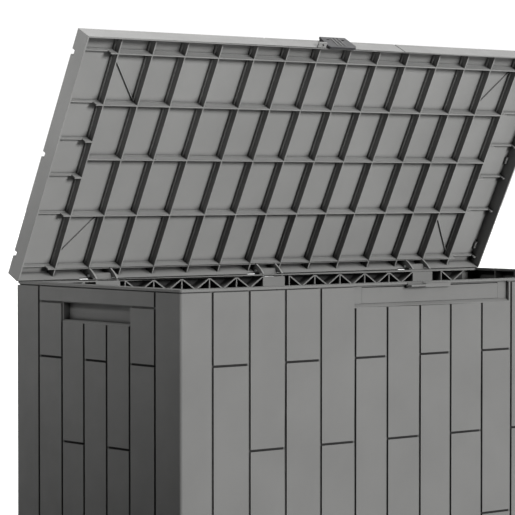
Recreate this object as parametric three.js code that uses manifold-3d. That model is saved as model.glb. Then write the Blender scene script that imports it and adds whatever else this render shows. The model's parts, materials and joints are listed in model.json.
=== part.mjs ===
// Deck storage box: four plank-moulded wall panels on a ribbed floor, a hinged lid that is ribbed
// underneath, three hinge pins, a clip-in front plate with a padlock ledge, a pull latch and screws.
// Millimetres, +Z up, -Y is the front. The lid is built closed and then turned to its open rest angle.
import * as THREE from 'three';
import { mergeVertices } from 'three/addons/utils/BufferGeometryUtils.js';
import Module from 'manifold-3d';

const wasm = await Module();
wasm.setup();

// ---- Driving dimensions ----
const BODY_W = 1136;            // outer width of the walls, along X
const BODY_D = 469;             // outer depth of the walls, along Y
const RIM_Z = 565.5;            // top of the walls
const WALL_FOOT_Z = 14;         // lower edge of the walls
const SKIN = 6;                 // wall thickness through a plank
const CORNER_R = 5;             // outer vertical corners
const FIT = 0.3;                // gap between neighbouring pieces

const POST_X = 65.2;            // plain corner strip on the front and back
const POST_Y = 69;              // plain corner strip on the sides
const FRONT_JOINTS = [37.4, 115.2, 189.8, 268.05, 346.3, 424.55, BODY_W / 2 - POST_X];
const SIDE_JOINTS = [32.5, 96.5, BODY_D / 2 - POST_Y];
const GROOVE = 5;               // width of the upright grooves between planks
const SEAM = 4;                 // height of the level seams between plank ends
const RELIEF = 3.5;               // depth of both
const SEAM_DROPS = { odd: [126.6, 419.5], even: [269.8] };   // below the rim

const BEAD_H = 4;               // rim bead and the shadow groove under it
const BEAD_INSET = 1;
const NECK_H = 2;
const NECK_INSET = 3.2;
const BAND_DEPTH = 29;          // hollow stiffening band inside the top of each wall
const BAND_H = 25;
const FLANGE = 3;
const WEB = 2.5;                // thin ribs of the band
const BRACE_PITCH = 65;          // upright to upright in the rear band
const BRACE_START = 38.5;        // first upright right of a hinge centre
const BRACE_LAST_START = 52;     // the same at the two outer ends
const STIFFENER_DEPTH = 15;     // upright ribs on the inner faces
const STIFFENER_W = 3;
const LAP = 20;                 // side panel tongue behind each corner strip

const FRIEZE_DROP = 31.9;       // level groove near the top of the sides
const GRIP_DROP = 65;           // lower edge of the hand recess
const GRIP_HALF = SIDE_JOINTS[1] - 1;
const GRIP_DEPTH = 16;
const GRIP_WALL = 4;

const RECESS_X = [-192, 184];    // sunk field at the top of the front, with a sloping foot
const RECESS = 7;
const RECESS_DROPS = { slope: 34.9, foot: 39.9 };
const RECESS_BACK = 13;          // the wall is thickened inwards behind it
const PLATE_X = [-168.5, 162];   // clip-in plate in the floor of the sunk field
const PLATE_DROP = RECESS_DROPS.slope - 0.5;
const LIP_GAP = [-66, 37];       // stretch of rim bead that the plate replaces
const LEDGE_X = [-69, -23];      // padlock ledge on the plate
const LEDGE_REACH = 12;
const LEDGE_DROP = [4.5, 7.5];
const PADLOCK_X = -47;
const PADLOCK_OUT = 6;
const PADLOCK_R = 2.8;

const FLOOR_TOP = 18.3;
const FLOOR_T = 4;
const FLOOR_INSET = 3;
const FLOOR_RIB = 3;
const UPSTAND_H = 30;

const LID_W = 1140;
const LID_D = 471.5;
const LID_TOP = 600;
const LID_FOOT = 566.7;         // lower edge of the lid's skirt when closed
const LID_SKIN = 4;
const SKIRT = 2.6;
const RIB_W = 2.2;
const RIB_TIP = 11.5;           // long rib tips above the skirt's lower edge
const CROSS_TIP = 11;           // cross ribs stand a little prouder
const LOW_RIB_TIP = 22.2;       // ribs in the two end columns are lower
const RIB_XS = [37.8, 112, 186.2, 267, 342.9, 414.5, 488];
const CROSS_SS = [18, 124, 340, 437];      // full cross ribs, from the rear face
const MIDDLE_S = 235;                      // cross rib that stops at the outermost long ribs
const SHORT_SS = [199, 269];               // end columns only
const STUB_X = 16;                         // full-height stretch next to the outermost long ribs
const NUB_X = 8;                           // raised stretch next to the skirt
const LID_GROOVE_SS = [41, 235, 429];      // grooves along the top of the lid
const LID_GROOVE = { width: 9, depth: 1.8 };
const EDGE_NOTCH = { depth: 7.5, wall: 2.5, reach: 8 };   // the grooves' deeper ends in the lid's sides

const HINGE_XS = [-390, 0, 390];
const AXIS_Y = LID_D / 2 - 6;
const AXIS_Z = 571.9;
const REAR_BEVEL = 3;           // lets the lid's rear lower edge roll past the rim
const PIN_R = 2.5;
const PIN_CLEARANCE = 0.08;
const KNUCKLE_R = 5;
const KNUCKLE_HALF = 21;
const PAD_HALF = 27;
const EAR_IN = 21.3;
const EAR_T = 3.5;
const EAR_TOE = [-5.4, -21.7];  // the ears' lowest point from the hinge axis, in Y and Z, lid closed
const TOE_R = 22.7;             // room for the toe's sweep
const OPEN_DEG = 63.05;

const LATCH_HALF_TOP = 30.5;
const LATCH_HALF_FOOT = 35.3;
const LATCH_OUT_TOP = 8;
const LATCH_OUT_FOOT = 4.5;
const LATCH_GAP = 0.8;          // behind the latch at its pivot
const LATCH_FOOT_GAP = 2.1;     // room for the foot to swing in under the ridge
const LATCH_FOOT = LID_FOOT - 4.5;
const LATCH_AXIS = { y: -LID_D / 2 - 4, z: 594.5 };
const LATCH_PIN_R = 1.5;
const LUG_X = 18;
const LUG_HALF = 3;
const LUG_R = 2.9;

const SCREW = { r: 2, headR: 4, headT: 2.5, cover: 2, sides: 10 };   // cover: wall left over the tip

// ---- Materials ----
const GREY = new THREE.MeshStandardMaterial({ color: 0x858683, roughness: 0.62, metalness: 0 });
const DARK = new THREE.MeshStandardMaterial({ color: 0x4b4c4c, roughness: 0.55, metalness: 0 });
const STEEL = new THREE.MeshStandardMaterial({ color: 0xb4b6b8, roughness: 0.35, metalness: 1 });

// ---- Solid helpers ----
function solidOf(geometry) {
  const bare = geometry.clone();
  bare.deleteAttribute('normal');
  bare.deleteAttribute('uv');
  const merged = mergeVertices(bare, 1e-4);
  return new wasm.Manifold(new wasm.Mesh({
    numProp: 3,
    vertProperties: new Float32Array(merged.attributes.position.array),
    triVerts: new Uint32Array(merged.index.array),
  }));
}

function box(xs, ys, zs) {
  const size = [xs, ys, zs].map(([low, high]) => high - low);
  const middle = [xs, ys, zs].map(([low, high]) => (high + low) / 2);
  return solidOf(new THREE.BoxGeometry(...size).translate(...middle));
}

// Extrudes an outline along 'x' (outline in Y, Z), 'y' (outline in X, Z) or 'z' (outline in X, Y).
function prism(outline, axis, [from, to], curveSegments = 6) {
  const shape = outline instanceof THREE.Shape
    ? outline
    : new THREE.Shape(outline.map(([u, v]) => new THREE.Vector2(u, v)));
  const geometry = new THREE.ExtrudeGeometry(shape, { depth: to - from, bevelEnabled: false, curveSegments });
  const X = new THREE.Vector3(1, 0, 0);
  const Y = new THREE.Vector3(0, 1, 0);
  const Z = new THREE.Vector3(0, 0, 1);
  const turn = new THREE.Matrix4();
  if (axis === 'x') turn.makeBasis(Y, Z, X).setPosition(from, 0, 0);
  if (axis === 'y') turn.makeBasis(X, Z, Y.clone().negate()).setPosition(0, to, 0);
  if (axis === 'z') turn.setPosition(0, 0, from);
  return solidOf(geometry.applyMatrix4(turn));
}

// Cylinder along 'x', 'y' or 'z'; the centre gives the two other coordinates in X, Y, Z order.
function rod(axis, radius, [a, b], [from, to], sides = 24) {
  const geometry = new THREE.CylinderGeometry(radius, radius, to - from, sides);
  const middle = (from + to) / 2;
  if (axis === 'x') geometry.rotateZ(Math.PI / 2).translate(middle, a, b);
  if (axis === 'y') geometry.translate(a, middle, b);
  if (axis === 'z') geometry.rotateX(Math.PI / 2).translate(a, b, middle);
  return solidOf(geometry);
}

const join = (solids) => solids.reduce((sum, next) => sum.add(next));
const cut = (solid, tools) => tools.reduce((rest, tool) => rest.subtract(tool), solid);
const mirrored = (values) => values.flatMap((value) => [-value, value]);
const around = (middle, width) => [middle - width / 2, middle + width / 2];

function piece(name, solid, material) {
  const found = solid.getMesh();
  const geometry = new THREE.BufferGeometry();
  geometry.setAttribute('position', new THREE.BufferAttribute(found.vertProperties, 3));
  geometry.setIndex(new THREE.BufferAttribute(found.triVerts, 1));
  geometry.computeVertexNormals();
  const mesh = new THREE.Mesh(geometry, material);
  mesh.name = name;
  return mesh;
}

// ---- Wall geometry ----
// A box on a wall: u runs along the wall, w inwards from its outer face.
function wallBox(side, us, ws, zs) {
  const inward = (half, sign) => ws.map((w) => sign * (half - w)).sort((p, q) => p - q);
  if (side === 'front') return box(us, inward(BODY_D / 2, -1), zs);
  if (side === 'back') return box(us, inward(BODY_D / 2, 1), zs);
  if (side === 'left') return box(inward(BODY_W / 2, -1), us, zs);
  return box(inward(BODY_W / 2, 1), us, zs);
}

// The plan of a front or back panel: a wide wall with a short return at each end.
function panelPlan(sign, inset, depth) {
  const outerX = BODY_W / 2 - inset;
  const outerY = BODY_D / 2 - inset;
  const innerX = BODY_W / 2 - depth;
  const innerY = BODY_D / 2 - depth;
  const endY = BODY_D / 2 - POST_Y;
  const r = CORNER_R;
  const plan = new THREE.Shape();
  plan.moveTo(-outerX, -endY);
  plan.lineTo(-outerX, -outerY + r);
  plan.absarc(-outerX + r, -outerY + r, r, Math.PI, 1.5 * Math.PI, false);
  plan.lineTo(outerX - r, -outerY);
  plan.absarc(outerX - r, -outerY + r, r, 1.5 * Math.PI, 2 * Math.PI, false);
  plan.lineTo(outerX, -endY);
  plan.lineTo(innerX, -endY);
  plan.lineTo(innerX, -innerY);
  plan.lineTo(-innerX, -innerY);
  plan.lineTo(-innerX, -endY);
  plan.closePath();
  if (sign < 0) return plan;
  return new THREE.Shape(plan.getPoints(4).map((p) => new THREE.Vector2(-p.x, -p.y)));
}

const NECK_TOP = RIM_Z - BEAD_H;
const PLANK_TOP = NECK_TOP - NECK_H;
const BAND_FOOT = RIM_Z - BAND_H;

// Grooves and seams between planks whose joints lie at plus and minus each value in joints.
function plankCuts(side, joints, grooveTop, first = 0) {
  const edges = mirrored(joints).sort((p, q) => p - q);
  const relief = [-1, RELIEF];
  const grooves = edges.map((u, i) => wallBox(side, around(u, GROOVE), relief, [WALL_FOOT_Z - 1, grooveTop(i)]));
  const seams = [];
  for (let i = 0; i + 1 < edges.length; i += 1) {
    const drops = (i + first) % 2 === 0 ? SEAM_DROPS.odd : SEAM_DROPS.even;
    for (const drop of drops) {
      seams.push(wallBox(side, [edges[i], edges[i + 1]], relief, around(RIM_Z - drop, SEAM)));
    }
  }
  return [...grooves, ...seams];
}

const stiffeners = (side, us) => us.map((u) => wallBox(
  side, around(u, STIFFENER_W), [SKIN - 1, STIFFENER_DEPTH], [FLOOR_TOP + UPSTAND_H + 4, BAND_FOOT],
));

const bandUprights = (side, us) => us.map((u) => wallBox(
  side, around(u, WEB), [SKIN - 1, BAND_DEPTH], [BAND_FOOT - 1, NECK_TOP + 1],
));

function widePanel(sign, side) {
  return join([
    prism(panelPlan(sign, 0, SKIN), 'z', [WALL_FOOT_Z, PLANK_TOP]),
    prism(panelPlan(sign, NECK_INSET, SKIN), 'z', [PLANK_TOP - 1, NECK_TOP + 1]),
    prism(panelPlan(sign, BEAD_INSET, BAND_DEPTH), 'z', [NECK_TOP, RIM_Z]),
    prism(panelPlan(sign, NECK_INSET, BAND_DEPTH), 'z', [BAND_FOOT - FLANGE, BAND_FOOT]),
    ...stiffeners(side, mirrored([152.5, 385.4])),
  ]);
}

// The grooves next to the corner strips also take the ends of the side panels.
function cornerGrooves(sign) {
  return [-1, 1].map((hand) => box(
    hand < 0 ? [-BODY_W / 2 - 1, -BODY_W / 2 + RELIEF] : [BODY_W / 2 - RELIEF, BODY_W / 2 + 1],
    around(sign * (BODY_D / 2 - POST_Y), GROOVE),
    [WALL_FOOT_Z - 1, PLANK_TOP],
  ));
}

// ---- Screws ----
const screwHoleR = SCREW.r + FIT;
const LAP_FACE = BODY_W / 2 - SKIN - FIT - SKIN;
const CORNER_SCREW_Y = BODY_D / 2 - POST_Y + LAP / 2;
const CORNER_SCREW_ZS = [120, 430];
const FLOOR_SCREW_Z = FLOOR_TOP + UPSTAND_H / 2;
const FLOOR_SCREW_XS = [-307, 307];
const UPSTAND_FACE = SKIN + FIT + FLOOR_RIB;

function cornerHoles(signY, signX) {
  return CORNER_SCREW_ZS.map((z) => rod(
    'x', screwHoleR, [signY * CORNER_SCREW_Y, z],
    signX < 0 ? [-BODY_W / 2 + 2, -LAP_FACE + 1] : [LAP_FACE - 1, BODY_W / 2 - 2], SCREW.sides,
  ));
}

// Screw driven outwards from the inside: its head bears on headFace, its tip ends inside the wall.
function screw(axis, sign, centre, headFace) {
  const tip = (axis === 'x' ? BODY_W : BODY_D) / 2 - SCREW.cover - FIT;
  const stem = [headFace - 0.5, tip].map((value) => sign * value).sort((p, q) => p - q);
  const head = [headFace - SCREW.headT, headFace - 0.05].map((value) => sign * value).sort((p, q) => p - q);
  return join([
    rod(axis, SCREW.r, centre, stem, SCREW.sides),
    rod(axis, SCREW.headR, centre, head, SCREW.sides),
  ]);
}

// ---- Floor ----
function makeFloor() {
  const skirtX = BODY_W / 2 - FLOOR_INSET;
  const skirtY = BODY_D / 2 - FLOOR_INSET;
  const plateX = BODY_W / 2 - SKIN - FIT;
  const plateY = BODY_D / 2 - SKIN - FIT;
  const ribTop = FLOOR_TOP - 1;
  const upstandTop = FLOOR_TOP + UPSTAND_H;
  const skirtTop = WALL_FOOT_Z - FIT;
  const solid = join([
    cut(box([-skirtX, skirtX], [-skirtY, skirtY], [0, skirtTop]),
      [box([-skirtX + 5, skirtX - 5], [-skirtY + 5, skirtY - 5], [-1, skirtTop + 1])]),
    box([-plateX, plateX], [-plateY, plateY], [FLOOR_TOP - FLOOR_T, FLOOR_TOP]),
    cut(box([-plateX, plateX], [-plateY, plateY], [skirtTop - 3, upstandTop]),
      [box([-plateX + FLOOR_RIB, plateX - FLOOR_RIB], [-plateY + FLOOR_RIB, plateY - FLOOR_RIB],
        [skirtTop - 4, upstandTop + 1])]),
    ...[-420, -280, -140, 0, 140, 280, 420].map((x) => box(
      around(x, x === 0 ? 40 : FLOOR_RIB), [-plateY, plateY], [0, ribTop])),
    ...[-115, 0, 115].map((y) => box([-plateX, plateX], around(y, y === 0 ? 40 : FLOOR_RIB), [0, ribTop])),
  ]);
  const holes = [];
  for (const x of FLOOR_SCREW_XS) {
    holes.push(rod('y', screwHoleR, [x, FLOOR_SCREW_Z], [-BODY_D / 2, BODY_D / 2], SCREW.sides));
  }
  holes.push(rod('x', screwHoleR, [0, FLOOR_SCREW_Z], [-BODY_W / 2, BODY_W / 2], SCREW.sides));
  return cut(solid, holes);
}

const floorHoles = (side) => FLOOR_SCREW_XS.map((x) => {
  const reach = [BODY_D / 2 - SKIN - 1, BODY_D / 2 - 2];
  return rod('y', screwHoleR, [x, FLOOR_SCREW_Z],
    side === 'front' ? [-reach[1], -reach[0]] : reach, SCREW.sides);
});

// ---- Front, back and side panels ----
function makeFront() {
  const face = -BODY_D / 2;
  const fall = (RECESS_DROPS.foot - RECESS_DROPS.slope) / RECESS;
  const sunk = [
    [face - 1, NECK_TOP + 0.6],
    [face + RECESS, NECK_TOP + 0.6],
    [face + RECESS, RIM_Z - RECESS_DROPS.slope],
    [face - 1, RIM_Z - RECESS_DROPS.foot - fall],
  ];
  const pocket = [PLATE_X[0] - FIT, PLATE_X[1] + FIT];
  const middle = FRONT_JOINTS.length - 0.5;
  const underField = (i) => i > middle - 3 && i < middle + 2;
  const tools = [
    ...plankCuts('front', FRONT_JOINTS, (i) => (underField(i) ? RIM_Z - RECESS_DROPS.foot - 1.6 : PLANK_TOP)),
    prism(sunk, 'x', RECESS_X),
    wallBox('front', pocket, [-1, RECESS + RELIEF], [RIM_Z - PLATE_DROP - FIT, PLANK_TOP + 0.2]),
    wallBox('front', [LIP_GAP[0] - FIT, LIP_GAP[1] + FIT], [-1, RELIEF], [PLANK_TOP - 1, RIM_Z + 1]),
    ...cornerGrooves(-1),
    ...cornerHoles(-1, -1),
    ...cornerHoles(-1, 1),
    ...floorHoles('front'),
  ];
  const uprights = mirrored([32.75, 98.25, 163.75, 229.25, 294.75, 360.25, 425.75, 491.25]);
  const backing = wallBox(
    'front', [RECESS_X[0] - 3, RECESS_X[1] + 3], [SKIN - 1, RECESS_BACK],
    [RIM_Z - RECESS_DROPS.foot - 4, NECK_TOP + 1],
  );
  return cut(join([widePanel(-1, 'front'), backing, ...bandUprights('front', uprights)]), tools);
}

// A sloping web in the rear band, from (x0, z0) to (x1, z1).
function brace(x0, z0, x1, z1) {
  const length = Math.hypot(x1 - x0, z1 - z0);
  const across = [-(z1 - z0) / length, (x1 - x0) / length].map((value) => value * WEB / 2);
  const outline = [
    [x0 - across[0], z0 - across[1]],
    [x1 - across[0], z1 - across[1]],
    [x1 + across[0], z1 + across[1]],
    [x0 + across[0], z0 + across[1]],
  ];
  return prism(outline, 'y', [BODY_D / 2 - BAND_DEPTH, BODY_D / 2 - SKIN + 1]);
}

function makeBack() {
  const uprights = [];
  const braces = [];
  const top = NECK_TOP + 0.5;
  const foot = BAND_FOOT + 0.5;
  const end = BODY_W / 2 - BAND_DEPTH;
  const vee = (from, to) => {
    const middle = (from + to) / 2;
    braces.push(brace(from, top, middle, foot), brace(middle, foot, to, top));
  };
  HINGE_XS.forEach((hinge, i) => {
    const next = i + 1 < HINGE_XS.length ? HINGE_XS[i + 1] - PAD_HALF : end;
    const start = i + 1 < HINGE_XS.length ? BRACE_START : BRACE_LAST_START;
    for (let x = hinge + start; x < next - BRACE_PITCH / 2; x += BRACE_PITCH) {
      uprights.push(x);
      if (x + BRACE_PITCH <= next + 2) vee(x, x + BRACE_PITCH);
    }
  });
  for (let x = HINGE_XS[0] - BRACE_LAST_START; x > -end; x -= BRACE_PITCH) {
    uprights.push(x);
    if (x - BRACE_PITCH > -end) vee(x - BRACE_PITCH, x);
  }
  const bandY = BODY_D / 2 - BAND_DEPTH;
  const pads = HINGE_XS.map((x) => box(
    around(x, 2 * PAD_HALF), [bandY, BODY_D / 2 - SKIN + 1], [BAND_FOOT - 1, NECK_TOP + 1]));
  const solid = cut(
    join([widePanel(1, 'back'), ...bandUprights('back', uprights), ...braces, ...pads]),
    [
      ...plankCuts('back', FRONT_JOINTS, () => PLANK_TOP),
      ...cornerGrooves(1),
      ...cornerHoles(1, -1),
      ...cornerHoles(1, 1),
      ...floorHoles('back'),
    ],
  );
  return cut(join([solid, ...HINGE_XS.map(knuckle)]), [...HINGE_XS.map(pinBore), ...HINGE_XS.flatMap(toeSlots)]);
}

function makeSide(side) {
  const hand = side === 'left' ? -1 : 1;
  const half = BODY_D / 2 - POST_Y - FIT;
  const lapHalf = half + LAP;
  const edge = BODY_D / 2 - POST_Y;
  const grip = [-GRIP_HALF, GRIP_HALF];
  const solid = join([
    wallBox(side, [-half, half], [0, SKIN], [WALL_FOOT_Z, PLANK_TOP]),
    wallBox(side, [-half, half], [NECK_INSET, SKIN], [PLANK_TOP - 1, NECK_TOP + 1]),
    wallBox(side, [-half, half], [BEAD_INSET, BAND_DEPTH], [NECK_TOP, RIM_Z]),
    wallBox(side, [-half, half], [NECK_INSET, BAND_DEPTH], [BAND_FOOT - FLANGE, BAND_FOOT]),
    wallBox(side, [-lapHalf, lapHalf], [SKIN + FIT, 2 * SKIN + FIT],
      [FLOOR_TOP + UPSTAND_H + 4, BAND_FOOT - FLANGE - FIT]),
    wallBox(side, [-half, half], [SKIN - 1, SKIN + FIT + 1], [FLOOR_TOP + UPSTAND_H + 4, BAND_FOOT - FLANGE - 1]),
    wallBox(side, [-GRIP_HALF - GRIP_WALL, GRIP_HALF + GRIP_WALL], [SKIN - 1, GRIP_DEPTH + GRIP_WALL],
      [RIM_Z - GRIP_DROP - GRIP_WALL, BAND_FOOT]),
    ...bandUprights(side, mirrored([30, 95, 150])),
  ]);
  return cut(solid, [
    ...plankCuts(side, SIDE_JOINTS.slice(0, 2), () => RIM_Z - GRIP_DROP, 1),
    ...[-1, 1].map((sign) => wallBox(side, sign < 0 ? [-edge, -SIDE_JOINTS[1]] : [SIDE_JOINTS[1], edge],
      [-1, RELIEF], around(RIM_Z - SEAM_DROPS.odd[0], SEAM))),
    ...[-1, 1].map((sign) => wallBox(side, sign < 0 ? [-edge, -SIDE_JOINTS[1]] : [SIDE_JOINTS[1], edge],
      [-1, RELIEF], around(RIM_Z - SEAM_DROPS.odd[1], SEAM))),
    ...[-1, 1].map((sign) => wallBox(side, around(sign * edge, GROOVE), [-1, RELIEF], [WALL_FOOT_Z - 1, PLANK_TOP])),
    ...[-1, 1].map((sign) => wallBox(side, around(sign * SIDE_JOINTS[1], GROOVE), [-1, RELIEF],
      [RIM_Z - GRIP_DROP - 1, RIM_Z - FRIEZE_DROP])),
    wallBox(side, [-edge, edge], [-1, RELIEF], around(RIM_Z - FRIEZE_DROP, SEAM)),
    wallBox(side, grip, [-1, GRIP_DEPTH], [RIM_Z - GRIP_DROP, RIM_Z - FRIEZE_DROP]),
    ...cornerHoles(-1, hand),
    ...cornerHoles(1, hand),
    rod('x', screwHoleR, [0, FLOOR_SCREW_Z],
      hand < 0 ? [-BODY_W / 2 + 2, -BODY_W / 2 + SKIN + 1] : [BODY_W / 2 - SKIN - 1, BODY_W / 2 - 2],
      SCREW.sides),
  ]);
}

function makeFrontPlate() {
  const thick = RELIEF - FIT;
  const ledgeTop = RIM_Z - LEDGE_DROP[0];
  const ledgeFoot = RIM_Z - LEDGE_DROP[1];
  const face = -BODY_D / 2;
  const ridge = [
    [face + 1, RIM_Z - FIT],
    [face - 1.2, RIM_Z - FIT],
    [face - 1.9, RIM_Z - 1.1],
    [face - 1.9, RIM_Z - 1.7],
    [face + 1, RIM_Z - 1.7],
  ];
  const solid = join([
    wallBox('front', PLATE_X, [RECESS, RECESS + thick], [RIM_Z - PLATE_DROP, PLANK_TOP - 1.3]),
    wallBox('front', LIP_GAP, [thick - 1, RECESS + 1], [PLANK_TOP - 4.3, PLANK_TOP - 1.8]),
    wallBox('front', LIP_GAP, [0, thick], [PLANK_TOP - 3.7, RIM_Z - FIT]),
    wallBox('front', LEDGE_X, [-LEDGE_REACH, 1], [ledgeFoot, ledgeTop]),
    prism(ridge, 'x', [-LATCH_HALF_FOOT + 4, LATCH_HALF_FOOT - 4]),
  ]);
  return cut(solid, [rod('z', PADLOCK_R, [PADLOCK_X, face - PADLOCK_OUT], [ledgeFoot - 1, ledgeTop + 1], 16)]);
}

// ---- Hinges ----
function knuckle(x) {
  const outline = new THREE.Shape();
  const back = AXIS_Y + KNUCKLE_R * Math.cos(Math.PI / 4);
  outline.moveTo(back, RIM_Z - 3);
  outline.lineTo(back, AXIS_Z - KNUCKLE_R * Math.sin(Math.PI / 4));
  outline.absarc(AXIS_Y, AXIS_Z, KNUCKLE_R, -Math.PI / 4, Math.PI, false);
  outline.lineTo(AXIS_Y - 8, RIM_Z);
  outline.lineTo(AXIS_Y - 8, RIM_Z - 3);
  outline.closePath();
  return prism(outline, 'x', around(x, 2 * KNUCKLE_HALF), 10);
}

// Slots in the rim that the ears' toes sink into as the lid closes.
function toeSlots(x) {
  const wide = EAR_T + 2 * FIT;
  return [-1, 1].map((sign) => box(
    around(x + sign * (EAR_IN + EAR_T / 2), wide), [AXIS_Y - TOE_R + 0.8, AXIS_Y + FIT],
    [AXIS_Z - TOE_R, RIM_Z + 1]));
}

const pinBore = (x) => rod('x', PIN_R + PIN_CLEARANCE, [AXIS_Y, AXIS_Z], around(x, 120));

const PIN_HALF = EAR_IN + EAR_T + 1.2;
const makeHingePin = (x) => rod('x', PIN_R, [AXIS_Y, AXIS_Z], around(x, 2 * PIN_HALF));

// ---- Lid, built closed ----
const rear = (s) => LID_D / 2 - s;

function hingeEar(x) {
  const outline = new THREE.Shape();
  const tip = LID_FOOT + RIB_TIP;
  outline.moveTo(rear(CROSS_SS[0]), tip);
  outline.quadraticCurveTo(rear(CROSS_SS[0]) + 1, AXIS_Z - 10, AXIS_Y + EAR_TOE[0], AXIS_Z + EAR_TOE[1]);
  outline.lineTo(AXIS_Y, AXIS_Z - KNUCKLE_R);
  outline.absarc(AXIS_Y, AXIS_Z, KNUCKLE_R, -Math.PI / 2, 0, false);
  outline.lineTo(rear(0.5), LID_TOP - LID_SKIN + 1.5);
  outline.lineTo(rear(CROSS_SS[0]), LID_TOP - LID_SKIN + 1.5);
  outline.closePath();
  return prism(outline, 'x', around(x, EAR_T), 6);
}

// A cross rib: full height between the outermost long ribs, low and stepped in the end columns.
function crossRib(s, spans) {
  const top = LID_TOP - LID_SKIN + 1;
  const tip = LID_FOOT + CROSS_TIP;
  const low = LID_FOOT + LOW_RIB_TIP;
  const last = RIB_XS[RIB_XS.length - 1];
  const end = LID_W / 2 - SKIRT / 2;
  const ys = around(rear(s), RIB_W);
  const parts = [];
  const reach = spans.ends ? last + STUB_X : last;
  if (spans.middle) parts.push(box([-reach, reach], ys, [tip, top]));
  if (spans.ends) {
    for (const sign of [-1, 1]) {
      const span = (a, b, z) => box([sign * a, sign * b].sort((p, q) => p - q), ys, [z, top]);
      if (!spans.middle) parts.push(span(last - 1, last + STUB_X, tip));
      parts.push(span(last + STUB_X - 1, end, low), span(end - NUB_X, end, tip + 2));
    }
  }
  return join(parts);
}

function makeLid() {
  const foot = LID_FOOT;
  const half = { x: LID_W / 2, y: LID_D / 2 };
  const top = LID_TOP - LID_SKIN + 1;
  const tip = foot + RIB_TIP;
  const shell = cut(box([-half.x, half.x], [-half.y, half.y], [foot, LID_TOP]), [
    box([-half.x + SKIRT, half.x - SKIRT], [-half.y + SKIRT, half.y - SKIRT], [foot - 1, LID_TOP - LID_SKIN]),
  ]);
  const ends = (from, to) => [[-to, -from], [from, to]];
  const notchLining = LID_GROOVE_SS.flatMap((s) => ends(half.x - EDGE_NOTCH.reach, half.x - 1).map((xs) => box(
    xs, around(rear(s), LID_GROOVE.width + 2 * EDGE_NOTCH.wall),
    [LID_TOP - EDGE_NOTCH.depth - EDGE_NOTCH.wall, top])));
  const notches = LID_GROOVE_SS.flatMap((s) => ends(half.x - EDGE_NOTCH.reach + EDGE_NOTCH.wall, half.x + 1)
    .map((xs) => box(xs, around(rear(s), LID_GROOVE.width + 1), [LID_TOP - EDGE_NOTCH.depth, LID_TOP + 1])));
  const longRibs = mirrored(RIB_XS).map((x) => box(around(x, RIB_W), [-half.y + 1, half.y - 1], [tip, top]));
  const crossRibs = [
    ...CROSS_SS.map((s) => crossRib(s, { middle: true, ends: true })),
    crossRib(MIDDLE_S, { middle: true, ends: false }),
    ...SHORT_SS.map((s) => crossRib(s, { middle: false, ends: true })),
  ];
  const ears = HINGE_XS.flatMap((x) => [-1, 1].map((sign) => hingeEar(x + sign * (EAR_IN + EAR_T / 2))));
  const lugs = [-1, 1].map((sign) => lug(sign * LUG_X));
  const tab = box([PADLOCK_X - 10, PADLOCK_X + 9], [-half.y - 10, -half.y + 1], [foot, foot + 3]);
  const bevel = REAR_BEVEL + 1;
  const cornerBevel = prism(
    [[half.y + 1, foot - 1], [half.y + 1, foot + bevel], [half.y - bevel, foot - 1]], 'x', [-half.x - 1, half.x + 1]);
  const moulded = cut(join([shell, ...notchLining, ...longRibs, ...crossRibs]), [
    ...notches,
    ...LID_GROOVE_SS.map((s) => box(
      [-half.x - 1, half.x + 1], around(rear(s), LID_GROOVE.width), [LID_TOP - LID_GROOVE.depth, LID_TOP + 1])),
    ...[-160, 160].map((x) => box(around(x, 3), [-half.y - 1, rear(LID_GROOVE_SS[2])],
      [LID_TOP - LID_GROOVE.depth, LID_TOP + 1])),
    box(around(160, 2.4), [-half.y - 1, -half.y + 1], [foot - 1, LID_TOP + 1]),
    ...HINGE_XS.map((x) => box(around(x, 2 * EAR_IN + 2), [rear(16.5), half.y + 1], [foot - 1, AXIS_Z + 8])),
    ...HINGE_XS.map((x) => box([x - EAR_IN - EAR_T - 21, x - EAR_IN - EAR_T - 1],
      [half.y - SKIRT - 1, half.y + 1], [foot - 1, foot + 5])),
    cornerBevel,
  ]);
  return cut(join([moulded, ...ears, ...lugs, tab]), [
    ...HINGE_XS.map(pinBore),
    rod('x', LATCH_PIN_R + PIN_CLEARANCE, [LATCH_AXIS.y, LATCH_AXIS.z], [-30, 30], 16),
    rod('z', PADLOCK_R, [PADLOCK_X, -half.y - PADLOCK_OUT + 1.5], [foot - 1, foot + 4], 16),
  ]);
}

// ---- Latch, built closed ----
function lug(x) {
  const outline = new THREE.Shape();
  const skirt = -LID_D / 2 + 1;
  outline.moveTo(skirt, LATCH_AXIS.z + LUG_R);
  outline.lineTo(LATCH_AXIS.y, LATCH_AXIS.z + LUG_R);
  outline.absarc(LATCH_AXIS.y, LATCH_AXIS.z, LUG_R, Math.PI / 2, 1.5 * Math.PI, false);
  outline.lineTo(skirt, LATCH_AXIS.z - LUG_R);
  outline.closePath();
  return prism(outline, 'x', around(x, 2 * LUG_HALF));
}

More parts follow.
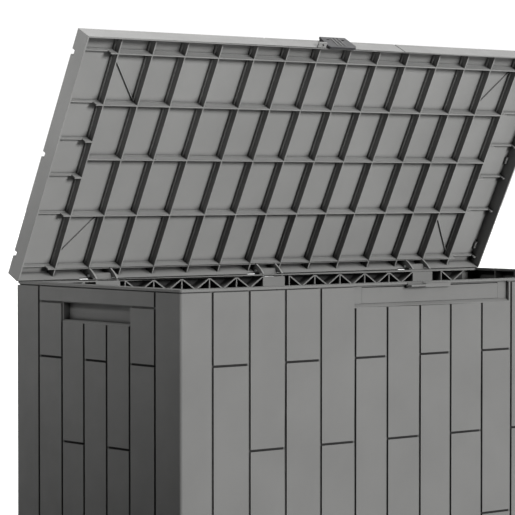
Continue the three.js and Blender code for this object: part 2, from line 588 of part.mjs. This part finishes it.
function makeLatch() {
  const face = -LID_D / 2;
  const r = LUG_R + 0.3;
  const back = face - LATCH_GAP;
  const profile = new THREE.Shape();
  profile.moveTo(back, LATCH_AXIS.z);
  profile.lineTo(back, LATCH_AXIS.z - r);
  profile.lineTo(face - LATCH_FOOT_GAP, LATCH_FOOT + 3.4);
  profile.lineTo(face - LATCH_FOOT_GAP, LATCH_FOOT + 1.4);
  profile.lineTo(face - 0.7, LATCH_FOOT + 1);
  profile.lineTo(face - 0.7, LATCH_FOOT);
  profile.lineTo(face - LATCH_OUT_FOOT, LATCH_FOOT);
  profile.lineTo(face - LATCH_OUT_TOP, LID_TOP - 1);
  profile.lineTo(face - LATCH_OUT_TOP + 1, LID_TOP);
  profile.lineTo(LATCH_AXIS.y - 0.5, LID_TOP);
  profile.lineTo(LATCH_AXIS.y, LATCH_AXIS.z + r);
  profile.absarc(LATCH_AXIS.y, LATCH_AXIS.z, r, Math.PI / 2, 0, true);
  profile.closePath();
  const front = [
    [-LATCH_HALF_FOOT, LATCH_FOOT + 6],
    [-LATCH_HALF_FOOT + 5, LATCH_FOOT - 0.5],
    [LATCH_HALF_FOOT - 5, LATCH_FOOT - 0.5],
    [LATCH_HALF_FOOT, LATCH_FOOT + 6],
    [LATCH_HALF_TOP, LID_TOP + 1],
    [-LATCH_HALF_TOP, LID_TOP + 1],
  ];
  const blank = prism(profile, 'x', [-LATCH_HALF_FOOT - 1, LATCH_HALF_FOOT + 1])
    .intersect(prism(front, 'y', [face - 20, face + 5]));
  const slope = (LATCH_OUT_TOP - LATCH_OUT_FOOT) / (LID_TOP - LATCH_FOOT);
  const gripLine = (x) => prism([
    [face - LATCH_OUT_FOOT + 1, LATCH_FOOT + 5],
    [face - 14, LATCH_FOOT + 5],
    [face - 14, LID_TOP - 4],
    [face - LATCH_OUT_FOOT - slope * (LID_TOP - 4 - LATCH_FOOT) + 1, LID_TOP - 4],
  ], 'x', around(x, 1.5));
  return cut(blank, [
    ...[-9, 0, 9].map(gripLine),
    ...[-1, 1].map((sign) => box(around(sign * LUG_X, 2 * LUG_HALF + 1),
      [LATCH_AXIS.y - r, face + 1], [LATCH_AXIS.z - 7, LATCH_AXIS.z + r])),
    rod('x', LATCH_PIN_R + PIN_CLEARANCE, [LATCH_AXIS.y, LATCH_AXIS.z], [-25, 25], 16),
  ]);
}

// ---- Assembly ----
const boxGroup = new THREE.Group();
boxGroup.add(piece('base_floor', makeFloor(), GREY));
boxGroup.add(piece('front_panel', makeFront(), GREY));
boxGroup.add(piece('back_panel', makeBack(), GREY));
boxGroup.add(piece('left_panel', makeSide('left'), GREY));
boxGroup.add(piece('right_panel', makeSide('right'), GREY));
boxGroup.add(piece('front_plate', makeFrontPlate(), GREY));
['left', 'middle', 'right'].forEach((name, i) => {
  boxGroup.add(piece(`hinge_pin_${name}`, makeHingePin(HINGE_XS[i]), STEEL));
});
for (const [handName, hand] of [['left', -1], ['right', 1]]) {
  for (const [endName, end] of [['front', -1], ['rear', 1]]) {
    for (const [level, z] of [['low', CORNER_SCREW_ZS[0]], ['high', CORNER_SCREW_ZS[1]]]) {
      boxGroup.add(piece(`corner_screw_${handName}_${endName}_${level}`,
        screw('x', hand, [end * CORNER_SCREW_Y, z], LAP_FACE - 0.1), STEEL));
    }
  }
  boxGroup.add(piece(`floor_screw_${handName}`,
    screw('x', hand, [0, FLOOR_SCREW_Z], BODY_W / 2 - UPSTAND_FACE - 0.1), STEEL));
}
for (const [endName, end] of [['front', -1], ['rear', 1]]) {
  FLOOR_SCREW_XS.forEach((x) => {
    boxGroup.add(piece(`floor_screw_${endName}_${x < 0 ? 'left' : 'right'}`,
      screw('y', end, [x, FLOOR_SCREW_Z], BODY_D / 2 - UPSTAND_FACE - 0.1), STEEL));
  });
}

const lidGroup = new THREE.Group();
lidGroup.position.set(0, AXIS_Y, AXIS_Z);
lidGroup.rotation.x = -THREE.MathUtils.degToRad(OPEN_DEG);
const closedLid = new THREE.Group();
closedLid.position.set(0, -AXIS_Y, -AXIS_Z);
closedLid.add(piece('lid_panel', makeLid(), GREY));
closedLid.add(piece('latch_handle', makeLatch(), DARK));
closedLid.add(piece('latch_pin', rod('x', LATCH_PIN_R, [LATCH_AXIS.y, LATCH_AXIS.z], [-24, 24], 16), STEEL));
lidGroup.add(closedLid);
boxGroup.add(lidGroup);

export default boxGroup;
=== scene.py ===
"""Looks for the deck storage box.

The CAD shells get soft edges and grey resin. Bevelled pieces add the feet of the lid's ribs, the
slanted ribs, a lip in each hand recess and the ridges on the latch. Dark linings in the level seams
and in the rear band stand in for shadow, and aren't parts of the real object.

Lengths are millimetres in the frame's axes unless a comment says otherwise.
"""
import json
import math

import bmesh
import bpy
from mathutils import Matrix, Vector


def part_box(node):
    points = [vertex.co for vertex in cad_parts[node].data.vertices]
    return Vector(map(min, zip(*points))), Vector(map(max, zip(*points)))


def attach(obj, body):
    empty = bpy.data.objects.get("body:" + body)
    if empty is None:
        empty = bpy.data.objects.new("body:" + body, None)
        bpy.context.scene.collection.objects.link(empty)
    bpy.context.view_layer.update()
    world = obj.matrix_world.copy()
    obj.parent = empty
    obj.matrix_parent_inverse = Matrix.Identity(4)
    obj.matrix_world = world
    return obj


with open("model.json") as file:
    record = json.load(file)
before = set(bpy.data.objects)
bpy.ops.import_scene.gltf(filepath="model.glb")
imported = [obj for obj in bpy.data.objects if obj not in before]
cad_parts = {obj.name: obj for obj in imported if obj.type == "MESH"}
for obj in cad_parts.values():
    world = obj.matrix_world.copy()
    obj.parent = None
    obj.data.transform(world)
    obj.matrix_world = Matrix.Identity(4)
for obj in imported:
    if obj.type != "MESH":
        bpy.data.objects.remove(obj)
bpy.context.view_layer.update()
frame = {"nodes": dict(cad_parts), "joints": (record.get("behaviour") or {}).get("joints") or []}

MM = 0.001


def box_mm(node):
    """Lowest and highest corner of a CAD node, in millimetres."""
    low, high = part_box(node)
    return low / MM, high / MM


# ---- Sizes, from the frame ----
HINGE = next(j for j in frame["joints"] if j["name"] == "lid_hinge")
AXIS = Vector(HINGE["pos_m"]) / MM
OPEN_DEG = -HINGE["range_deg"][0]
OPENED = (
    Matrix.Translation(AXIS)
    @ Matrix.Rotation(math.radians(OPEN_DEG), 4, Vector(HINGE["axis"]))
    @ Matrix.Translation(-AXIS)
)

FRONT_LOW, FRONT_HIGH = box_mm("front_panel")
HALF_W = FRONT_HIGH.x
HALF_D = -FRONT_LOW.y
RIM = FRONT_HIGH.z
LID_TOP = 600
LID_SKIN = 4
LID_DEPTH = 471.5
REAR_OVERHANG = 6
LID_REAR = AXIS.y + REAR_OVERHANG
LID_FRONT = LID_REAR - LID_DEPTH

# Lid ribs, closed: across the width, and distances from the rear face.
RIB_XS = [37.8, 112, 186.2, 267, 342.9, 414.5, 488]
CROSS_SS = [18, 124, 340, 437]
MIDDLE_S = 235
SHORT_SS = [199, 269]
FOOT_W = 5.5
FOOT_H = 5.5
CROSS_FOOT_W = 4
CROSS_FOOT_H = 3.5
FOOT_END_GAP = 2
SLANT_HALF_W = 0.8
SLANT_H = 3.2
SUNK = 1

# Hinges and latch.
HINGE_XS = [-390, 0, 390]
PAD_HALF = 27
WALL_T = 6
LATCH_FOOT = 562.2

# Latch ridges: places across the width, and how far the sloping face stands out at foot and top.
RIDGE_XS = [-7, 2, 11]
RIDGE_W = 1.6
RIDGE_OUT = 0.5
RIDGE_ABOVE_FOOT = 6
RIDGE_BELOW_TOP = 5
LATCH_OUT_AT_FOOT = 4.9
LATCH_OUT_AT_TOP = 7.6

# Planks: joints from the middle of a wall, and the level seams' distances below the rim.
FRONT_JOINTS = [37.4, 115.2, 189.8, 268.05, 346.3, 424.55, HALF_W - 65.2]
SIDE_JOINTS = [32.5, 96.5, HALF_D - 69]
SEAM_DROPS = ([126.6, 419.5], [269.8])
SEAM_H = 4
GROOVE_W = 5
GROOVE_DEPTH = 3.5

# Painted shadow linings: gap at a groove's sides, and depths from the groove's floor or the wall.
SHADOW_LINING_GAP = 0.1
SHADOW_LINING_DEPTHS = (-0.3, 0.7)
BAND_END = 45
BAND_PAD_GAP = 1
BAND_DROPS = (24.5, 4.5)
BAND_BEHIND = 1
BAND_OUT = 0.5

# Hand recess in the side panels.
GRIP_DROP = 65
GRIP_HALF = 95.5
GRIP_END_GAP = 0.2
# Its lip in section: distance behind the wall's face, and height above the recess's lower edge.
LIP_SECTION = [(0.4, -0.5), (0.4, 0.6), (4.5, 4), (16.5, 4), (16.5, -0.5)]

# Soft edges on CAD nodes, in degrees: faces merged below the first, edges rounded above the second.
FLAT_DEG = 1
EDGE_DEG = 35


# ---- Materials ----
# Painted shade in crevices: reach in metres, and the openness at which the painted shade is darkest
# and fully gone.
CREVICE_SHADE_REACH = 0.016
CREVICE_SHADE_RAMP = (0.3, 0.72)
SHEEN = 0.12


def resin(name, color, mottling, roughness, grain=0.12, crevice_shade=0.9):
    """Moulded plastic: slow mottling, fine grain, and painted shade that darkens it where surfaces
    close in.
    """
    material = bpy.data.materials.new(name)
    material.use_nodes = True
    nodes, links = material.node_tree.nodes, material.node_tree.links
    nodes.clear()
    out = nodes.new("ShaderNodeOutputMaterial")
    shader = nodes.new("ShaderNodeBsdfPrincipled")
    links.new(shader.outputs["BSDF"], out.inputs["Surface"])
    place = nodes.new("ShaderNodeTexCoord")

    def noise(scale, detail):
        node = nodes.new("ShaderNodeTexNoise")
        node.inputs["Scale"].default_value = scale
        node.inputs["Detail"].default_value = detail
        links.new(place.outputs["Object"], node.inputs["Vector"])
        return node.outputs["Fac"]

    def ramp(factor, low, high, start=0.3, end=0.7):
        node = nodes.new("ShaderNodeMapRange")
        node.inputs["From Min"].default_value = start
        node.inputs["From Max"].default_value = end
        node.inputs["To Min"].default_value = low
        node.inputs["To Max"].default_value = high
        links.new(factor, node.inputs["Value"])
        return node.outputs["Result"]

    mix = nodes.new("ShaderNodeMix")
    mix.data_type = "RGBA"
    mix.inputs["A"].default_value = [c * (1 - mottling) for c in color] + [1]
    mix.inputs["B"].default_value = [c * (1 + mottling) for c in color] + [1]
    links.new(ramp(noise(9, 6), 0, 1), mix.inputs["Factor"])

    # Painted shade: ambient occlusion darkens the colour in grooves and crevices.
    close = nodes.new("ShaderNodeAmbientOcclusion")
    close.inputs["Distance"].default_value = CREVICE_SHADE_REACH
    close.samples = 8
    dark = nodes.new("ShaderNodeMix")
    dark.data_type = "RGBA"
    dark.blend_type = "MULTIPLY"
    dark.inputs["Factor"].default_value = 1
    links.new(mix.outputs["Result"], dark.inputs["A"])
    shut, clear = CREVICE_SHADE_RAMP
    links.new(ramp(close.outputs["AO"], 1 - crevice_shade, 1, shut, clear), dark.inputs["B"])
    links.new(dark.outputs["Result"], shader.inputs["Base Color"])

    links.new(ramp(noise(35, 4), roughness - 0.05, roughness + 0.07), shader.inputs["Roughness"])
    bump = nodes.new("ShaderNodeBump")
    bump.inputs["Strength"].default_value = grain
    bump.inputs["Distance"].default_value = 0.0004
    links.new(noise(900, 3), bump.inputs["Height"])
    links.new(bump.outputs["Normal"], shader.inputs["Normal"])
    shader.inputs["Specular IOR Level"].default_value = SHEEN
    return material


def zinc(name):
    """Dull plated steel with fine streaks."""
    material = bpy.data.materials.new(name)
    material.use_nodes = True
    nodes, links = material.node_tree.nodes, material.node_tree.links
    shader = nodes["Principled BSDF"]
    shader.inputs["Base Color"].default_value = (0.62, 0.63, 0.64, 1)
    shader.inputs["Metallic"].default_value = 1
    streaks = nodes.new("ShaderNodeTexNoise")
    streaks.inputs["Scale"].default_value = 400
    spread = nodes.new("ShaderNodeMapRange")
    spread.inputs["To Min"].default_value = 0.28
    spread.inputs["To Max"].default_value = 0.46
    links.new(streaks.outputs["Fac"], spread.inputs["Value"])
    links.new(spread.outputs["Result"], shader.inputs["Roughness"])
    return material


# The lid takes a paler copy of the wall resin, painted light to match its brightness. SHADE is for the
# painted shadow linings only.
GREY = resin("resin_grey", (0.063, 0.063, 0.0615), 0.05, 0.6)
GREY_PAINTED_LIGHT = resin("resin_grey_painted_light", (0.106, 0.106, 0.104), 0.05, 0.6)
SHADE = resin("resin_shade", (0.012, 0.012, 0.012), 0.1, 0.85)
DARK = resin("resin_dark", (0.016, 0.016, 0.017), 0.06, 0.5, grain=0.2)
STEEL = zinc("zinc_steel")


# ---- Bevelled pieces ----
class Kit:
    """Solids with softened edges, gathered in millimetres and built as one object."""

    def __init__(self, placed=None):
        self.mesh = bmesh.new()
        self.placed = placed or Matrix.Identity(4)

    def prism(self, outline, axis, span, bevel):
        """Extrudes an outline along x (outline in y, z), y (x, z) or z (x, y)."""
        def point(a, b, c):
            return Vector({"x": (c, a, b), "y": (a, c, b), "z": (a, b, c)}[axis])

        rings = [[self.mesh.verts.new(self.placed @ point(a, b, c)) for a, b in outline] for c in span]
        count = len(outline)
        faces = [self.mesh.faces.new(rings[0]), self.mesh.faces.new(rings[1][::-1])]
        for i in range(count):
            j = (i + 1) % count
            faces.append(self.mesh.faces.new((rings[0][j], rings[0][i], rings[1][i], rings[1][j])))
        bmesh.ops.recalc_face_normals(self.mesh, faces=faces)
        if bevel:
            edges = {e for f in faces for e in f.edges if e.calc_face_angle(0) > math.radians(30)}
            bmesh.ops.bevel(
                self.mesh, geom=list(edges), offset=bevel, segments=2, profile=0.5,
                affect="EDGES", clamp_overlap=True,
            )

    def box(self, xs, ys, zs, bevel=0.4):
        corners = [(xs[0], ys[0]), (xs[1], ys[0]), (xs[1], ys[1]), (xs[0], ys[1])]
        self.prism(corners, "z", zs, bevel)

    def build(self, name, body, material):
        self.mesh.transform(Matrix.Scale(MM, 4))
        data = bpy.data.meshes.new(name)
        self.mesh.to_mesh(data)
        self.mesh.free()
        data.materials.append(material)
        data.shade_smooth()
        data.set_sharp_from_angle(angle=math.radians(40))
        made = bpy.data.objects.new(name, data)
        bpy.context.scene.collection.objects.link(made)
        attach(made, body)
        return made


def around(middle, width):
    return (middle - width / 2, middle + width / 2)


# ---- CAD nodes: soft edges and finish ----
def finish_node(name, material, edge_mm):
    node = frame["nodes"][name]
    node.data.materials.clear()
    node.data.materials.append(material)
    if not edge_mm:
        return
    flat = node.modifiers.new("flat_faces", "DECIMATE")
    flat.decimate_type = "DISSOLVE"
    flat.angle_limit = math.radians(FLAT_DEG)
    soft = node.modifiers.new("soft_edges", "BEVEL")
    soft.width = edge_mm * MM
    soft.segments = 2
    soft.limit_method = "ANGLE"
    soft.angle_limit = math.radians(EDGE_DEG)
    soft.harden_normals = True
    node.data.shade_smooth()


WALLS = ["front_panel", "back_panel", "left_panel", "right_panel"]
for shell in WALLS + ["base_floor", "front_plate"]:
    finish_node(shell, GREY, 0.6)
# The lid's paler resin is painted light.
finish_node("lid_panel", GREY_PAINTED_LIGHT, 0.6)
finish_node("latch_handle", DARK, 0.4)
for hardware in frame["nodes"]:
    if "screw" in hardware or "pin" in hardware:
        finish_node(hardware, STEEL, 0)


# ---- Lid: rib feet and slanted ribs ----
def lid_details():
    kit = Kit(OPENED)
    under = LID_TOP - LID_SKIN
    last = RIB_XS[-1]
    ys = (LID_FRONT + FOOT_END_GAP, LID_REAR - FOOT_END_GAP)
    for x in RIB_XS:
        for sign in (-1, 1):
            kit.box(around(sign * x, FOOT_W), ys, (under - FOOT_H, under + SUNK))
    cross_zs = (under - CROSS_FOOT_H, under + SUNK)
    for s in CROSS_SS + [MIDDLE_S]:
        reach = last if s == MIDDLE_S else HALF_W
        kit.box((-reach, reach), around(LID_REAR - s, CROSS_FOOT_W), cross_zs)
    for s in SHORT_SS:
        for sign in (-1, 1):
            xs = sorted((sign * last, sign * HALF_W))
            kit.box(xs, around(LID_REAR - s, CROSS_FOOT_W), cross_zs)
    # The rib feet take the lid's paler resin, painted light.
    kit.build("lid_rib_feet", "lid", GREY_PAINTED_LIGHT)

    # Thin slanted ribs in the four corner cells, between points (x, distance from the rear face).
    slanted = Kit(OPENED)
    inner, outer = RIB_XS[-2] + 1, last - 1
    for start, end in (
        ((-outer, 431), (-inner, 343)),
        ((-inner, 121), (-outer, 31)),
        ((outer, 431), (inner, 341)),
        ((inner + 2, 122), (outer, 28)),
    ):
        a = Vector((start[0], LID_REAR - start[1]))
        b = Vector((end[0], LID_REAR - end[1]))
        side = (b - a).orthogonal().normalized() * SLANT_HALF_W
        corners = [a - side, b - side, b + side, a + side]
        slanted.prism(corners, "z", (under - SLANT_H, under + SUNK), 0.2)
    # The slanted ribs take the lid's paler resin, painted light.
    slanted.build("lid_slanted_ribs", "lid", GREY_PAINTED_LIGHT)


def grip_lips():
    """A sloping lip along the lower edge of each hand recess."""
    for node, sign in (("left_panel", -1), ("right_panel", 1)):
        outline = [
            (sign * (HALF_W - behind), RIM - (GRIP_DROP - rise))
            for behind, rise in LIP_SECTION
        ]
        kit = Kit()
        kit.prism(outline, "y", (-GRIP_HALF + GRIP_END_GAP, GRIP_HALF - GRIP_END_GAP), 0.5)
        kit.build(node.replace("panel", "grip_lip"), "box", GREY)


def seam_shadow_linings():
    """Dark strips on the floors of the level seams between planks, standing in for shadow."""
    kit = Kit()
    for joints, half in ((FRONT_JOINTS, HALF_D), (SIDE_JOINTS, HALF_W)):
        edges = sorted([-joint for joint in joints] + joints)
        for i, (start, end) in enumerate(zip(edges, edges[1:])):
            along = (start + GROOVE_W / 2 + SHADOW_LINING_GAP, end - GROOVE_W / 2 - SHADOW_LINING_GAP)
            for drop in SEAM_DROPS[i % 2]:
                zs = around(RIM - drop, SEAM_H - 2 * SHADOW_LINING_GAP)
                for sign in (-1, 1):
                    into = sorted(sign * (half - GROOVE_DEPTH + out) for out in SHADOW_LINING_DEPTHS)
                    xs, ys = (along, into) if joints is FRONT_JOINTS else (into, along)
                    kit.box(xs, ys, zs, 0.15)
    kit.build("seam_shadow_linings", "box", SHADE)


def band_shadow_lining():
    """Dark lining on the wall behind the rear band's sloping webs, standing in for shadow."""
    kit = Kit()
    wall = HALF_D - WALL_T
    edges = [-HALF_W + BAND_END]
    for x in HINGE_XS:
        edges += [x - PAD_HALF - BAND_PAD_GAP, x + PAD_HALF + BAND_PAD_GAP]
    edges.append(HALF_W - BAND_END)
    zs = tuple(RIM - drop for drop in BAND_DROPS)
    for xs in zip(edges[::2], edges[1::2]):
        kit.box(xs, (wall - BAND_BEHIND, wall + BAND_OUT), zs, 0.2)
    kit.build("rear_band_shadow_lining", "box", SHADE)


def latch_ridges():
    """Raised lines beside the latch's grip grooves, in the lid's paler resin as a painted highlight.
    """
    kit = Kit(OPENED)
    foot, top = LATCH_FOOT + RIDGE_ABOVE_FOOT, LID_TOP - RIDGE_BELOW_TOP
    low_face, high_face = LID_FRONT - LATCH_OUT_AT_FOOT, LID_FRONT - LATCH_OUT_AT_TOP
    for x in RIDGE_XS:
        outline = [
            (low_face + SUNK, foot),
            (low_face - RIDGE_OUT, foot),
            (high_face - RIDGE_OUT, top),
            (high_face + SUNK, top),
        ]
        kit.prism(outline, "x", around(x, RIDGE_W), 0.3)
    # Painted highlight: the ridges take the lid's paler resin, not the latch's dark resin.
    kit.build("latch_ridges", "latch", GREY_PAINTED_LIGHT)


lid_details()
grip_lips()
seam_shadow_linings()
band_shadow_lining()
latch_ridges()


# ---- Stage: metres, and directions in the frame's axes ----
SIDE_TOWARDS = (0.64, 0.77, 0)
SIDE_BRIGHT = 1.05
OVERHEAD_TOWARDS = (0.32, -0.1, 0.94)
OVERHEAD_BRIGHT = 3.1

# The floor is darker near one point, so that less light comes back up from it.
FLOOR_HALF = 60
FLOOR_DARK_AT = (-1.1, -1.1, 0)
FLOOR_FADE = (0.7, 2.4)
FLOOR_TONES = (0.2, 0.7)

CAMERA_AT = (-2.935, -3.265, 0.732)
CAMERA_HEADING_DEG = 39.84
CAMERA_PITCH_DEG = -1.72
SENSOR_MM = 36
LENS_MM = 167.4
FRAME_PX = 515
SHIFT_PX = (-0.5, 0.9)


RANGE_KEYS = ("From Min", "From Max", "To Min", "To Max")


def stage():
    data = bpy.data.meshes.new("floor")
    size = FLOOR_HALF
    corners = [(-size, -size, 0), (size, -size, 0), (size, size, 0), (-size, size, 0)]
    data.from_pydata(corners, [], [(0, 1, 2, 3)])
    floor = bpy.data.objects.new("floor", data)
    bpy.context.scene.collection.objects.link(floor)
    material = bpy.data.materials.new("floor_white")
    material.use_nodes = True
    nodes, links = material.node_tree.nodes, material.node_tree.links
    shader = nodes["Principled BSDF"]
    shader.inputs["Roughness"].default_value = 0.9
    place = nodes.new("ShaderNodeTexCoord")
    reach = nodes.new("ShaderNodeVectorMath")
    reach.operation = "DISTANCE"
    links.new(place.outputs["Object"], reach.inputs[0])
    reach.inputs[1].default_value = FLOOR_DARK_AT
    fade = nodes.new("ShaderNodeMapRange")
    fade.interpolation_type = "SMOOTHSTEP"
    for key, value in zip(RANGE_KEYS, FLOOR_FADE + FLOOR_TONES):
        fade.inputs[key].default_value = value
    links.new(reach.outputs["Value"], fade.inputs["Value"])
    links.new(fade.outputs["Result"], shader.inputs["Base Color"])
    data.materials.append(material)

    bpy.context.scene.view_settings.view_transform = "Standard"
    world = bpy.data.worlds.new("studio")
    bpy.context.scene.world = world
    world.use_nodes = True
    nodes, links = world.node_tree.nodes, world.node_tree.links
    direction = nodes.new("ShaderNodeTexCoord").outputs["Generated"]

    def glow(towards, start, end, low, high):
        """Brightness that rises as the direction turns towards a side of the studio."""
        dot = nodes.new("ShaderNodeVectorMath")
        dot.operation = "DOT_PRODUCT"
        links.new(direction, dot.inputs[0])
        dot.inputs[1].default_value = towards
        spread = nodes.new("ShaderNodeMapRange")
        spread.interpolation_type = "SMOOTHSTEP"
        for key, value in zip(RANGE_KEYS, (start, end, low, high)):
            spread.inputs[key].default_value = value
        links.new(dot.outputs["Value"], spread.inputs["Value"])
        return spread.outputs["Result"]

    total = nodes.new("ShaderNodeMath")
    total.operation = "ADD"
    links.new(glow(SIDE_TOWARDS, -0.3, 0.6, 0, SIDE_BRIGHT), total.inputs[0])
    links.new(glow(OVERHEAD_TOWARDS, 0.5, 0.97, 0, OVERHEAD_BRIGHT), total.inputs[1])
    links.new(total.outputs["Value"], nodes["Background"].inputs["Strength"])
    nodes["Background"].inputs["Color"].default_value = (1, 1, 1, 1)


def aimed(light, place, target):
    made = bpy.data.objects.new(light.name, light)
    made.location = place
    made.rotation_euler = (Vector(target) - Vector(place)).to_track_quat("-Z", "Y").to_euler()
    bpy.context.scene.collection.objects.link(made)


def sun(name, towards, angle, strength):
    light = bpy.data.lights.new(name, "SUN")
    light.angle = math.radians(angle)
    light.energy = strength
    aimed(light, Vector(towards) * 4, (0, 0, 0))


def spot(name, place, target, cone, power):
    light = bpy.data.lights.new(name, "SPOT")
    light.energy = power
    light.shadow_soft_size = 0.4
    light.spot_size = math.radians(cone)
    light.spot_blend = 1
    aimed(light, place, target)


def camera():
    lens = bpy.data.cameras.new("camera")
    lens.sensor_width = SENSOR_MM
    lens.lens = LENS_MM
    lens.shift_x = SHIFT_PX[0] / FRAME_PX
    lens.shift_y = SHIFT_PX[1] / FRAME_PX
    made = bpy.data.objects.new("camera", lens)
    made.location = CAMERA_AT
    heading = math.radians(CAMERA_HEADING_DEG)
    pitch = math.radians(CAMERA_PITCH_DEG)
    ahead = Vector((
        math.sin(heading) * math.cos(pitch),
        math.cos(heading) * math.cos(pitch),
        math.sin(pitch),
    ))
    made.rotation_euler = ahead.to_track_quat("-Z", "Y").to_euler()
    bpy.context.scene.collection.objects.link(made)
    bpy.context.scene.camera = made


stage()
sun("key", towards=(0.1, -0.96, 0.2), angle=18, strength=8.2)
spot("lid_side", (-2.4, -0.3, 2.0), (-0.6, 0.12, 0.95), cone=28, power=420)
camera()
